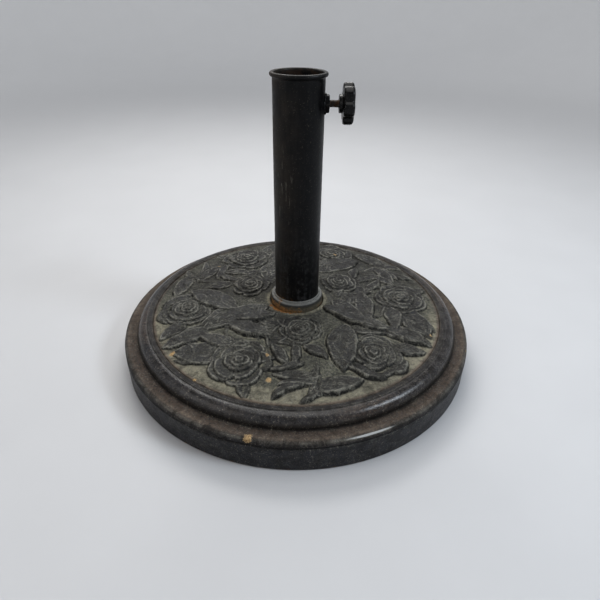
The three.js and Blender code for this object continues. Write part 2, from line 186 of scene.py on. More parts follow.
def lathe_rings(profile, sides, on_clamp=False, shape=None):
    """rings about the Z axis, or about the clamp's axis.
    shape(k, angle, radius) may change the radius of ring k"""
    angle = np.linspace(0, 2 * math.pi, sides, endpoint=False)
    rings = []
    for k, (radius, along) in enumerate(profile):
        r = np.full(sides, float(radius)) if shape is None else shape(k, angle, radius)
        place, u, v = np.full(sides, float(along)), r * np.cos(angle), r * np.sin(angle)
        rings.append(np.stack([place, u, CLAMP_Z + v] if on_clamp else [u, v, place], 1))
    return rings


# ---------------------------------------------------------------- relief
# x, y, radius, phase of its petals
ROSES = [(5, -73, 27, 0.3), (-66, -128, 37, 1.9), (90, -113, 37, 4.4)]
# base, tip, half width, bow to the left, height, tilt, serrated edge
LEAVES = [
    ((-80, -112), (-148, -106), 20, 2, 2.6, -0.8, 0), ((-118, -58), (-158, -96), 9, 3, 4.2, 1.0, 0),
    ((-110, -76), (-156, -101), 9, -2, 3.8, 1.2, 1), ((-76, -97), (-119, -75), 12, 3, 4.0, 0.8, 0),
    ((-78, -44), (-116, -70), 12, -3, 5.0, 1.6, 0), ((-86, -50), (-27, -84), 14, -4, 4.6, 1.2, 0),
    ((-28, -36), (-86, -50), 11, 2, 4.4, 1.6, 0), ((36, -20), (118, -62), 15, -3, 5.2, 1.8, 0),
    ((62, -58), (54, -142), 20, -3, 4.4, 1.2, 0), ((20, -168), (76, -150), 13, -2, 4.2, 1.4, 1),
    ((30, -148), (-30, -146), 9, 3, 3.4, 1.2, 0), ((24, -159), (-22, -162), 7, -3, 3.4, 1.0, 0),
    ((12, -160), (-28, -186), 7, -7, 4.0, 1.2, 0), ((22, -168), (2, -188), 6, 3, 3.0, 0.8, 0),
    ((10, -127), (-35, -141), 7, 2, 4.2, 1.6, 0), ((-26, -96), (-8, -132), 8, -3, 3.6, 0.8, 0),
    ((-1, -98), (-4, -134), 7, 2, 3.0, -0.8, 0), ((8, -100), (36, -124), 9, 2, 3.4, 1.0, 0),
    ((62, -126), (102, -152), 8, -4, 4.0, 1.8, 0), ((66, -68), (114, -74), 12, 3, 3.0, 0.8, 0),
    ((110, -62), (167, -93), 12, 3, 4.4, 1.6, 0), ((116, -94), (157, -103), 11, -2, 3.2, 1.0, 1),
    ((126, -116), (104, -144), 8, 4, 3.6, 1.4, 0),
]
# rings of petals: share of the rose's radius, petals, height at the foot and at the rim
PETALS = [(1.0, 5, 0.6, 3.8), (0.74, 4, 2.0, 4.9), (0.49, 3, 3.2, 6.0), (0.31, 3, 4.6, 7.2),
          (0.17, 2, 6.2, 8.2)]
# small leaves that fill the gaps of each third of the field
UNDERLEAVES = 26
# the height map reaches HALF on each side of the middle, in cells of CELL
CELL, HALF = 0.5, 191.0
SPINE_POINTS = 48


def spine_points(base, tip, bow, count):
    base, tip = np.array(base, float), np.array(tip, float)
    along = (tip - base) / np.linalg.norm(tip - base)
    middle = (base + tip) / 2 + 2 * bow * np.array([-along[1], along[0]])
    s = np.linspace(0, 1, count)[:, None]
    return (1 - s) ** 2 * base + 2 * s * (1 - s) * middle + s * s * tip


def leaf_height(x, y, leaf):
    """a bowed blade with a sunk midrib and veins, whose outward side stands higher"""
    base, tip, half, bow, top, tilt, serrated = leaf
    spine = spine_points(base, tip, bow, SPINE_POINTS)
    tangent = np.gradient(spine, axis=0)
    tangent /= np.linalg.norm(tangent, axis=1)[:, None]
    nearest = ((x[:, None] - spine[:, 0]) ** 2 + (y[:, None] - spine[:, 1]) ** 2).argmin(1)
    dx, dy = x - spine[nearest, 0], y - spine[nearest, 1]
    tx, ty = tangent[nearest, 0], tangent[nearest, 1]
    length = np.linalg.norm(np.diff(spine, axis=0), axis=1).sum()
    t = nearest / (SPINE_POINTS - 1.0) + (dx * tx + dy * ty) / length
    side = dy * tx - dx * ty
    tc = np.clip(t, 0, 1)
    width = half * np.sin(np.pi * tc ** 0.8) ** 0.75
    width = width * (1 + 0.06 * np.sin(tc * 9 + half) + 0.05 * serrated * ((tc * 7) % 1 - 0.5))
    inside = np.minimum(width - np.abs(side), np.minimum(t, 1 - t) * length * 0.8 + 0.3)
    s = np.clip(np.abs(side) / np.maximum(width, 0.5), 0, 1)
    wall = smooth(-0.6, 1.7, inside)
    # 1 where the blade's left side faces away from the pole, and -1 where its right side does
    across = (base[1] - tip[1], tip[0] - base[0])
    outward = np.sign((base[0] + tip[0]) * across[0] + (base[1] + tip[1]) * across[1])
    rise = (0.5 + 0.5 * smooth(0.0, 0.4, tc)) * (1 - 0.25 * smooth(0.8, 1.0, tc))
    lean = 0.62 + 0.38 * smooth(-0.9, 0.5, outward * side / half)
    blade = top * rise * lean + 1.0 * (s ** 1.5 - 0.3) + 0.6 * tilt * outward * side / half
    midrib = -0.7 * bell(side, 0, 1.1) * smooth(0, 4, inside) * (half > 7)
    phase = (tc * length - np.abs(side) - 0.02 * side ** 2) / 8.0
    veins = 0.24 * bell((phase - np.round(phase)) * 8.0, 0, 1.0)
    veins = veins * smooth(0.5, 3, inside) * smooth(0.2, 2, np.abs(side))
    curl = 0.45 * bell(inside, 1.4, 0.8)
    return wall * (blade + midrib - veins + curl) - (1 - wall) * 3


def rose_height(x, y, rose):
    """nested rings of overlapping petals, each a cup that rises to a thin rim"""
    cx, cy, radius, phase = rose
    dx, dy = x - cx, y - cy
    rho, angle = np.hypot(dx, dy), np.arctan2(dy, dx)
    out = np.full(x.shape, -3.0)
    for k, (share, count, foot, rim) in enumerate(PETALS):
        turn = (angle - phase - 1.1 * k) * count / (2 * np.pi)
        turn = turn + 0.10 * np.sin(angle * 2 + 3 * k)
        part = turn % 1
        scallop = np.sin(np.pi * part) ** 0.55
        edge = radius * share * (0.84 + 0.16 * scallop - 0.09 * (part - 0.5))
        edge = edge * (1 + 0.05 * np.sin(angle + k * 2.2 + phase))
        q = rho / edge
        inside = edge - rho
        start = PETALS[k + 1][0] * 0.8 if k + 1 < len(PETALS) else 0.0
        along = np.clip((q - start / share) / (1 - start / share), 0, 1)
        cup = foot + (rim - foot) * along ** 1.6 + 0.5 * (part - 0.5)
        cup = cup - 0.5 + 0.9 * bell(inside, 0.9, 0.8)
        wall = smooth(-0.4, 1.1, inside)
        if k == 0:
            out = np.where(inside > -0.4, np.maximum(wall * cup - (1 - wall) * 3, -3), out)
        else:
            out = np.where(inside > 0, wall * cup + (1 - wall) * out, out)
    return out


def underleaves():
    """small low leaves behind the others, in a third of the field"""
    out = []
    for _ in range(UNDERLEAVES):
        radius, angle = RNG.uniform(62, 178), RNG.uniform(-2.3, 0.1)
        heading = angle + RNG.normal(0.9, 0.9)
        reach = RNG.uniform(15, 27)
        centre = radius * np.array([math.cos(angle), math.sin(angle)])
        along = reach * np.array([math.cos(heading), math.sin(heading)])
        out.append((tuple(centre - along), tuple(centre + along), RNG.uniform(5, 10),
                    RNG.uniform(-4, 4), RNG.uniform(1.3, 2.3), RNG.uniform(0.2, 1.2), 0))
    return out


def relief_map():
    """heights of the relief above the domed field, on a square grid, repeated by thirds of a turn"""
    axis = np.arange(-HALF, HALF + CELL, CELL)
    x, y = np.meshgrid(axis, axis, indexing="ij")
    r = np.hypot(x, y)
    flat = np.stack([x.ravel(), y.ravel(), 0 * x.ravel()], 1)
    # moves the pattern by a millimetre or two, so that no two thirds are quite alike
    drift = [(waves(flat, 34.0) + 0.45 * waves(flat, 11.0)).reshape(x.shape) for _ in range(2)]
    creases = [waves(flat, size).reshape(x.shape) for size in (30.0, 19.0)]
    leaves = LEAVES + underleaves()
    out = np.zeros(x.shape)
    for third in range(3):
        a = -2 * np.pi * third / 3
        xr, yr = x * np.cos(a) - y * np.sin(a), x * np.sin(a) + y * np.cos(a)
        xr, yr = xr + drift[0], yr + drift[1]
        for leaf in leaves:
            base, tip = np.array(leaf[0]), np.array(leaf[1])
            centre, reach = (base + tip) / 2, np.linalg.norm(tip - base) / 2 + leaf[2] + 6
            near = (xr - centre[0]) ** 2 + (yr - centre[1]) ** 2 < reach ** 2
            out[near] = np.maximum(out[near], leaf_height(xr[near], yr[near], leaf))
        for rose in ROSES:
            near = (xr - rose[0]) ** 2 + (yr - rose[1]) ** 2 < (rose[2] * 1.2) ** 2
            out[near] = np.maximum(out[near], rose_height(xr[near], yr[near], rose))
    for crease in creases:
        out += 0.5 * bell(crease, 0.15, 0.10) * smooth(0.2, 1.5, out) - 0.25 * bell(crease, -0.12, 0.12)
    return out * smooth(FIELD_R, FIELD_R - 2.5, r) * smooth(37.5, 41, r)


def blurred(grid, size):
    """Gaussian blur of a square map; size is in millimetres"""
    f = np.fft.fftfreq(grid.shape[0], CELL)
    weight = np.exp(-2 * (np.pi * size * f) ** 2)
    return np.real(np.fft.ifft2(np.fft.fft2(grid) * weight[:, None] * weight[None, :]))


def sampled(grid, x, y):
    """values of a square map between its cells' corners"""
    u, v = (x + HALF) / CELL, (y + HALF) / CELL
    i = np.clip(u.astype(int), 0, grid.shape[0] - 2)
    j = np.clip(v.astype(int), 0, grid.shape[1] - 2)
    a, b = np.clip(u - i, 0, 1), np.clip(v - j, 0, 1)
    low = grid[i, j] * (1 - b) + grid[i, j + 1] * b
    high = grid[i + 1, j] * (1 - b) + grid[i + 1, j + 1] * b
    return low * (1 - a) + high * a


def field_height(r):
    """the field without its relief: a dome, with a groove at its edge and a sloped mouth"""
    dome = FIELD_EDGE_Z + FIELD_RISE * (1 - (r / FIELD_R) ** 2)
    groove = 0.8 * smooth(FIELD_R, FIELD_R + 1, r)
    mouth = (MOUTH_R - np.minimum(r, MOUTH_R)) * 1.1
    return dome - groove - mouth


# ---------------------------------------------------------------- casting
# points in each row of the field's mesh inside and outside the radius SPLIT_R
INNER_SIDES, OUTER_SIDES, SPLIT_R = 400, 800, 80.0
INNER_ROWS, OUTER_ROWS, ROW_GAP = 38, 99, 1.15
# x, y and size of the chips in the field's paint
FIELD_CHIPS = [(-146, -109, 4.5), (-33, -118, 3.5), (-30, -155, 4.0), (168, -70, 2.5),
               (-112, -152, 2.5), (60, 130, 3.0), (-120, 95, 3.5)]
# the torus round the field: radius and height of its centre line, and its own radius
TORUS_R, TORUS_Z, TORUS_ROUND = 198.5, 41.5, 12.5
BODY_SIDES, BODY_STEP = 360, 2.4
# where the outer lip is worn and has a painted highlight, and its chips: direction in degrees, height and
# size
WEAR_AND_HIGHLIGHT_AT = 290
EDGE_CHIPS = [(257.7, 38.2, 5.0), (259.5, 33, 1.8), (340, 38, 1.6), (80, 36, 3.0)]


def slab_floor(r):
    """the field's hidden lower face, a cone just above the body's"""
    low, rise = 51.0, 9.5
    return low + (FIELD_R + 1 - r) / (FIELD_R + 1 - POCKET_R) * rise


def relief_mesh(heights):
    """points and faces of the field: its top, its two edges and its hidden lower face"""
    inner = np.linspace(POCKET_R + 0.2, SPLIT_R - ROW_GAP, INNER_ROWS)
    outer = np.linspace(SPLIT_R, FIELD_R + 1.0, OUTER_ROWS)
    rows, points = [], []

    def add_row(r, sides, z=None):
        angle = np.linspace(0, 2 * math.pi, sides, endpoint=False)
        x, y = r * np.cos(angle), r * np.sin(angle)
        top = field_height(np.full(sides, r)) + sampled(heights, x, y)
        points.append(np.stack([x, y, top if z is None else np.full(sides, z)], 1))
        start = rows[-1][-1] + 1 if rows else 0
        rows.append(list(range(start, start + sides)))

    add_row(inner[0], INNER_SIDES, slab_floor(inner[0]))
    add_row(outer[-1], OUTER_SIDES, slab_floor(outer[-1]))
    for r in outer[::-1]:
        add_row(r, OUTER_SIDES)
    for r in inner[::-1]:
        add_row(r, INNER_SIDES)
    faces = []
    for first, second in zip(rows[1:], rows[2:]):
        faces += strip(first, second) if len(first) == len(second) else stitch(first, second)
    faces += strip(rows[-1], rows[0])
    faces += [face[::-1] for face in stitch(rows[1], rows[0])]
    return np.concatenate(points), faces


def relief_attributes(heights, x, y):
    """the shares that the casting's material reads, at points of the field"""
    r, angle = np.hypot(x, y), np.degrees(np.arctan2(y, x)) % 360
    height = sampled(heights, x, y)
    wide, near, fine = (sampled(blurred(heights, size), x, y) for size in (5.0, 2.2, 1.1))
    hollow, crease, ridge = wide - height, near - height, height - fine
    gx, gy = np.gradient(heights, CELL)
    steep = smooth(0.32, 0.85, sampled(blurred(np.hypot(gx, gy), 0.4), x, y))
    ground = smooth(1.4, 0.2, height)
    # the front of the field is dustier, as in the photo
    front = 0.2 + 0.8 * smooth(60, -110, y)
    dust = 0.14 + 0.42 * ground + 0.30 * smooth(0.1, 0.8, crease) + 0.12 * smooth(0.4, 2.0, hollow)
    dust = dust * (1 - 0.8 * steep) * (0.3 + 0.7 * front) + 0.75 * smooth(160, 184, r) * ground * front
    dust += 0.7 * bell(r, 38.5, 3.5)
    rust = 0.95 * bell(r, 37.5, 3.5) * bell(offset(angle, 240), 0, 50)
    rust += 0.35 * bell(r, 41, 5) * bell(offset(angle, 215), 0, 25)
    chips = np.zeros(len(x))
    for cx, cy, size in FIELD_CHIPS:
        chips = np.maximum(chips, bell(np.hypot(x - cx, y - cy), 0, size))
    return {"dust": np.clip(dust, 0, 1), "wear": smooth(0.03, 0.20, ridge),
            "rust": np.clip(rust, 0, 1), "carved": smooth(FIELD_R, FIELD_R - 4, r),
            "scuff_and_highlight": np.zeros(len(x)), "chip": chips, "brown": np.full(len(x), 0.15),
            "gloss": 0.3 * smooth(1.0, 2.5, height),
            # painted shade: near black on steep walls and in creases of the relief
            "painted_shade": np.clip(0.9 * steep + 0.5 * smooth(0.5, 1.6, crease), 0, 1)}


def turned_quads(points, faces):
    """starts each quad at the corner that splits it along its flatter diagonal"""
    z = points[:, 2]
    out = []
    for face in faces:
        turn = len(face) == 4 and abs(z[face[1]] - z[face[3]]) < abs(z[face[0]] - z[face[2]])
        out.append(face[1:] + face[:1] if turn else face)
    return out


def casting_relief():
    heights = blurred(relief_map(), 0.75)
    points, faces = relief_mesh(heights)
    x, y = points[:, 0], points[:, 1]
    r, height = np.hypot(x, y), sampled(heights, x, y)
    attributes = relief_attributes(heights, x, y)
    # grit heaped round the collar, then the slight swell of an old casting
    points[:, 2] += 0.5 * np.abs(waves(points, 3.5)) * bell(r, 39.0, 2.5)
    swell = 0.10 * waves(points, 6.0) + 0.20 * waves(points, 15.0) * smooth(0.5, 2.0, height)
    away = smooth(POCKET_R + 1, POCKET_R + 4, r)
    points[:, 2] += (swell - 0.1) * away * smooth(FIELD_R, FIELD_R - 3, r)
    faces = turned_quads(points, faces)
    piece = mesh_object("casting_relief", points, faces, "base", attributes)
    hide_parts("base_casting")
    return piece


def torus_arc():
    return [(TORUS_R + TORUS_ROUND * math.cos(s), TORUS_Z + TORUS_ROUND * math.sin(s))
            for s in np.linspace(0, math.pi / 2, 12)]


def casting_profile():
    """radius and height, from the recess in the underside round the edge to the bolt hole"""
    edge = BASE_R - 0.15
    outer = fillet([(22, UNDER_Z), (edge - 0.6, UNDER_Z), (edge, UNDER_Z + 1.2), (edge - 0.1, 30.6),
                    (edge - 1.5, 31.4), (edge - 1.5, 32.6), (edge - 0.2, 34.0), (edge - 1.6, 38.6),
                    (224, 40.0), (217, 39.3), (211.2, 39.8), (TORUS_R + TORUS_ROUND, TORUS_Z)],
                   [0, 0.5, 0.5, 0.8, 0.5, 0.5, 1.2, 2.4, 2.5, 3.5, 0.8, 0.4], 5)
    inner = fillet([(TORUS_R, TORUS_Z + TORUS_ROUND), (197.6, 54.1), (197.3, 54.8), (191.9, 54.8),
                    (190.7, 53.1), (190.7, 50.9), (37.6, 60.1), (POCKET_R, 60.1), (POCKET_R, 30),
                    (10.6, 30), (10.6, 21.4), (5.5, 21.4), (5.5, 16), (22, 16)],
                   [0, 0.3, 0.7, 0.9, 0.4, 0, 0, 0, 0.5, 0.5, 0.3, 0.3, 0.5, 1.0], 4)
    keep = []
    for p in resample(outer + torus_arc() + inner[1:], BODY_STEP):
        # the cone hidden under the field needs few rings
        hidden = 38 < p[0] < 190 and 51 < p[1] < 60.1
        if not hidden or not keep or math.hypot(*(p - keep[-1])) > 24:
            keep.append(p)
    return keep


def body_attributes(r, z, angle, broad):
    """the shares that the casting's material reads, at points of the body"""
    top_side = smooth(36, 40, z)
    cove = smooth(209, 213, r) * smooth(226, 222, r) * top_side
    torus = smooth(212, 208, r) * smooth(197, 200, r) * top_side
    wear = 0.9 * bell(z, 38.3, 1.3) * smooth(224, 226, r) + 0.35 * bell(r, 197.3, 0.8) * top_side
    wear += 0.35 * bell(r, 191.9, 0.7) * top_side + 0.3 * bell(z, 30.6, 0.7) * smooth(226, 228, r)
    wear *= 0.4 + 0.6 * bell(offset(angle, WEAR_AND_HIGHLIGHT_AT), 0, 12)
    # a pale bluish-grey line on the lip's edge: worn paint and a painted highlight
    scuff_and_highlight = bell(z, 38.6, 0.9) * smooth(225, 226, r) * bell(offset(angle, WEAR_AND_HIGHLIGHT_AT), 0, 7)
    dust = 0.10 + 0.20 * cove + 0.35 * bell(r, 190.7, 1.3) + 0.10 * bell(r, 211.5, 1.6) * top_side
    dust += (0.30 * bell(r, 223.5, 2.2) + 0.25 * bell(z, 37.5, 2.5) * smooth(225, 227, r)) * top_side
    dust += 0.10 * broad * cove - 0.09 * smooth(34, 30, z)
    brown = 0.10 + 0.80 * cove + 0.7 * torus * smooth(0.1, 1.0, broad)
    chips = np.zeros(len(r))
    for at, height, size in EDGE_CHIPS:
        distance = np.hypot(np.radians(offset(angle, at)) * 226, (z - height) * 1.3)
        chips = np.maximum(chips, bell(distance, 0, size) * smooth(218, 222, r))
    rust = 0.5 * smooth(60.2, 59.8, z) * smooth(39, 37, r) * smooth(35, 40, r)
    # painted shadow: a warm brown band in rust colours along the wall's foot, where the base meets the
    # floor
    rust += 0.5 * smooth(UNDER_Z + 4.0, UNDER_Z + 1.2, z) * smooth(224, 228, r)
    return {"dust": np.clip(dust, 0, 1), "wear": np.clip(wear, 0, 1), "rust": rust,
            "carved": np.zeros(len(r)), "scuff_and_highlight": scuff_and_highlight, "chip": chips,
            "brown": np.clip(brown, 0, 1), "gloss": np.clip(torus + 0.45 * smooth(34, 30, z), 0, 1),
            # painted shade: near black in the groove between the cove and the torus and in the groove round
            # the wall
            "painted_shade": 0.8 * bell(r, 211.2, 1.5) * top_side + 0.7 * bell(z, 32.0, 1.0) * smooth(225, 227, r)}


def casting_body():
    points, faces = ringed(lathe_rings(casting_profile(), BODY_SIDES), True)
    r, z = np.hypot(points[:, 0], points[:, 1]), points[:, 2]
    angle = np.degrees(np.arctan2(points[:, 1], points[:, 0])) % 360
    outside = smooth(180, 192, r) * smooth(UNDER_Z + 0.1, UNDER_Z + 4, z)
    shift = 0.13 * waves(points, 26.0) + 0.07 * waves(points, 8.0)
    points[:, 0] -= points[:, 0] / r * np.abs(shift) * outside
    points[:, 1] -= points[:, 1] / r * np.abs(shift) * outside
    attributes = body_attributes(r, z, angle, waves(points, 120.0, 8))
    piece = mesh_object("casting_body", points, faces, "base", attributes)
    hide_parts("base_casting")
    return piece


# ---------------------------------------------------------------- tube and collar
def clamp_hole_cutter():
    """a rod through one side of the tube, for the clamp screw's hole"""
    hole, start, end = 4.5, 20, 34
    points, faces = ringed(lathe_rings([(hole, start), (hole, end)], 48, True), False)
    return linked("drill", smooth_mesh("drill", points, faces))


def pole_tube():
    foot = span("pole_tube")[0][2]
    rim_r, rim_z, roll = 28.85, TUBE_TOP - 2.4, 2.35
    rim = [(rim_r + roll * math.cos(a), rim_z + roll * math.sin(a))
           for a in np.radians(np.linspace(-78, 178, 18))]
    profile = [(TUBE_IN, foot), (TUBE_R, foot), (TUBE_R, TUBE_TOP - 5.4)] + rim
    profile += [(TUBE_IN, TUBE_TOP - 4.5)]
    points, faces = ringed(lathe_rings(resample(profile, 3.0), 144), True)
    r = np.hypot(points[:, 0], points[:, 1])
    shift = 0.07 * waves(points, 45.0) + 0.03 * waves(points, 14.0)
    # the wall stays true round the clamp nut and under the rim
    away = smooth(2, 14, np.hypot(points[:, 1], points[:, 2] - CLAMP_Z)) + (points[:, 0] < 0)
    shift = shift * np.clip(away, 0, 1) * smooth(TUBE_TOP - 3, TUBE_TOP - 12, points[:, 2])
    points[:, 0] += points[:, 0] / r * shift
    points[:, 1] += points[:, 1] / r * shift
    tube = mesh_object("tube", points, faces, "base")
    cutter = clamp_hole_cutter()
    cut = tube.modifiers.new("hole", "BOOLEAN")
    cut.object = cutter
    cut.solver = "EXACT"
    drilled = bpy.data.meshes.new_from_object(
        tube.evaluated_get(bpy.context.evaluated_depsgraph_get()))
    tube.modifiers.clear()
    tube.data = drilled
    drilled.polygons.foreach_set("use_smooth", [True] * len(drilled.polygons))
    bpy.data.objects.remove(cutter)
    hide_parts("pole_tube")
    return tube


def tube_collar():
    low, high = span("tube_collar")
    inside, wall = TUBE_R + 0.3, 34.5
    profile = fillet([(inside, low[2]), (wall, low[2]), (wall, 72.6), (33.2, 75.3), (30.9, 75.6),
                      (30.4, high[2] - 0.1), (inside, high[2] - 0.1)],
                     [0.2, 0.4, 1.0, 1.2, 0.5, 0.8, 0.5])
    points, faces = ringed(lathe_rings(resample(profile, 1.5), 180), True)
    dent = 0.05 * waves(points, 9.0) * smooth(30, 31, np.hypot(points[:, 0], points[:, 1]))
    points[:, :2] *= 1 - np.abs(dent)[:, None] / 34
    piece = mesh_object("collar", points, faces, "base")
    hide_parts("tube_collar")
    return piece


# ---------------------------------------------------------------- clamp
# how far the knob's lobes and the screw's head are turned at rest
KNOB_TURN = math.radians(10)


def hexagon(angle, flats, turn=0.0):
    """radius of a hexagon, measured across its flats, in each direction"""
    return flats / 2 / np.cos((angle - turn) % (math.pi / 3) - math.pi / 6)


NUT_FLATS = 17.3


def clamp_nut():
    face = span("clamp_weld_nut")[1][0]
    hole, sides = 4.35, 96
    # the ring's greatest radius, its place, and whether that counts from the tube's wall or from x = 0
    rings = [(hole, 0, "wall"), (9.9, 0, "wall"), (9.95, 0.6, "wall"), (10.4, face - 1.2, "x"),
             (9.6, face - 0.45, "x"), (8.7, face - 0.05, "x"), (6.0, face, "x"), (5.0, face - 0.1, "x"),
             (hole, face - 0.7, "x")]
    angle = np.linspace(0, 2 * math.pi, sides, endpoint=False)
    made = []
    for radius, along, start in rings:
        r = np.minimum(hexagon(angle, NUT_FLATS), radius) if radius > hole else np.full(sides, hole)
        y, z = r * np.cos(angle), CLAMP_Z + r * np.sin(angle)
        wall = np.sqrt((TUBE_R + 0.12) ** 2 - y ** 2)
        x = wall + along if start == "wall" else np.full(sides, float(along))
        made.append(np.stack([x, y, z], 1))
    points, faces = ringed(made, True)
    piece = mesh_object("weld_nut", points, faces, "base")
    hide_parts("clamp_weld_nut")
    return piece


def nut_weld():
    """an uneven bead of weld round the nut, on the tube's wall"""
    bead = []
    for a in np.linspace(0, 2 * math.pi, 120, endpoint=False):
        reach = hexagon(np.array([a]), NUT_FLATS)[0] + 0.55 + 0.25 * math.sin(11 * a) * math.cos(3 * a)
        size = 1.05 + 0.22 * math.sin(17 * a + 1)
        ring = []
        for b in np.linspace(0, 2 * math.pi, 12, endpoint=False):
            r = reach + size * math.cos(b)
            y = r * math.cos(a)
            wall = math.sqrt((TUBE_R + 0.1) ** 2 - y * y)
            ring.append((wall + max(0.0, size * (math.sin(b) + 0.45)), y, CLAMP_Z + r * math.sin(a)))
        bead.append(np.array(ring[::-1]))
    points, faces = ringed(bead, True)
    return mesh_object("nut_weld", points, faces, "base")


def clamp_screw():
    """an M8 screw with a cut thread, a turned-down end for the tip and a hexagonal head"""
    low, high = span("clamp_screw")
    start, thread_end, head = 25.9, 43.0, 51.2
    pitch, neck, shank, head_r = 1.25, 2.45, 3.9, 6.45
    step = pitch / 8
    along = np.arange(start, thread_end + step, step)
    end = [(0.6, low[0] + 0.05), (2.2, low[0] + 0.1), (neck, low[0] + 0.5), (neck, start - 0.15)]
    profile = end + [(shank, a) for a in along]
    profile += [(shank, thread_end + 0.6), (shank, head), (6.4, head + 0.02), (head_r, head + 0.5),
                (head_r, high[0] - 0.6), (5.9, high[0] - 0.05), (0.6, high[0] - 0.02)]
    first, last = len(end), len(end) + len(along) - 1

    def shape(k, angle, radius):
        if radius == head_r:
            return hexagon(angle, 2 * head_r, KNOB_TURN)
        if not first <= k <= last:
            return np.full(len(angle), radius)
        phase = (profile[k][1] / pitch + angle / (2 * math.pi)) % 1
        depth = 0.68 * np.clip(1.25 * np.abs(2 * phase - 1) - 0.12, 0, 1)
        fade = np.clip((k - first) / 8, 0, 1) * np.clip((last - k) / 8, 0, 1)
        return shank + 0.03 - depth * fade

    points, faces = ringed(lathe_rings(profile, 56, True, shape), False)
    piece = mesh_object("clamp_screw_m8", points, faces, "clamp_knob")
    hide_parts("clamp_screw")
    return piece


def screw_tip():
    low, high = span("screw_tip")
    profile = fillet([(0.5, low[0]), (5, low[0]), (5, high[0]), (2.8, high[0]), (2.8, 23.0), (0.5, 23.0)],
                     [0, 1.0, 0.4, 0.3, 0.2, 0])
    points, faces = ringed(lathe_rings(profile, 64, True), True)
    piece = mesh_object("pressure_pad", points, faces, "pressure_tip")
    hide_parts("screw_tip")
    return piece


def knob_head():
    low, high = span("knob_head")
    hub, face, back, outside = low[0], high[0], 47.5, 21.45
    socket_flats, lobes, lobe_depth = 13.6, 6, 3.4
    # radius, place along the axis, and how far the lobes shape the ring; None is the head's socket
    rings = [(4.35, hub + 0.4, 0), (4.9, hub, 0), (9.0, hub, 0), (9.6, hub + 0.5, 0), (9.65, back - 1.2, 0),
             (10.3, back - 0.3, 0), (11.5, back, 0), (15.5, back, 0.3), (18.6, back + 0.1, 0.8),
             (20.2, back + 0.5, 1), (21.0, back + 1.2, 1), (21.4, back + 2.4, 1), (outside, back + 4, 1),
             (outside, back + 6, 1), (outside, face - 4, 1), (21.4, face - 2.6, 1), (20.9, face - 1.4, 1),
             (20.0, face - 0.6, 1), (18.4, face - 0.1, 0.9), (16.5, face, 0.5), (13.5, face - 0.2, 0.15),
             (11.0, face - 0.5, 0), (9.9, face - 0.7, 0), (9.35, face - 1.1, 0), (9.3, face - 2.7, 0),
             (8.4, face - 2.75, 0), (6.85, face - 2.8, None), (6.85, 51.0, None), (5.0, 50.95, 0),
             (4.35, 50.9, 0)]

    def shape(k, angle, radius):
        share = rings[k][2]
        if share is None:
            return hexagon(angle, socket_flats, KNOB_TURN)
        notch = ((1 - np.cos(lobes * (angle - KNOB_TURN))) / 2) ** 2.4
        return radius - lobe_depth * share * notch

    profile = [ring[:2] for ring in rings]
    points, faces = ringed(lathe_rings(profile, 240, True, shape), True)
    piece = mesh_object("knob", points, faces, "clamp_knob")
    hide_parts("knob_head")
    return piece


def knob_cap():
    low, high = span("knob_cap")
    inner, outer = low[0], high[0]
    profile = [(0.4, inner), (8.6, inner), (8.95, inner + 0.3), (8.95, outer - 1.1), (8.7, outer - 0.6),
               (8.0, outer - 0.35), (5.0, outer - 0.15), (2.0, outer - 0.03), (0.4, outer)]
    points, faces = ringed(lathe_rings(profile, 96, True), False)
    piece = mesh_object("knob_cap_disc", points, faces, "clamp_knob")
    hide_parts("knob_cap")
    return piece


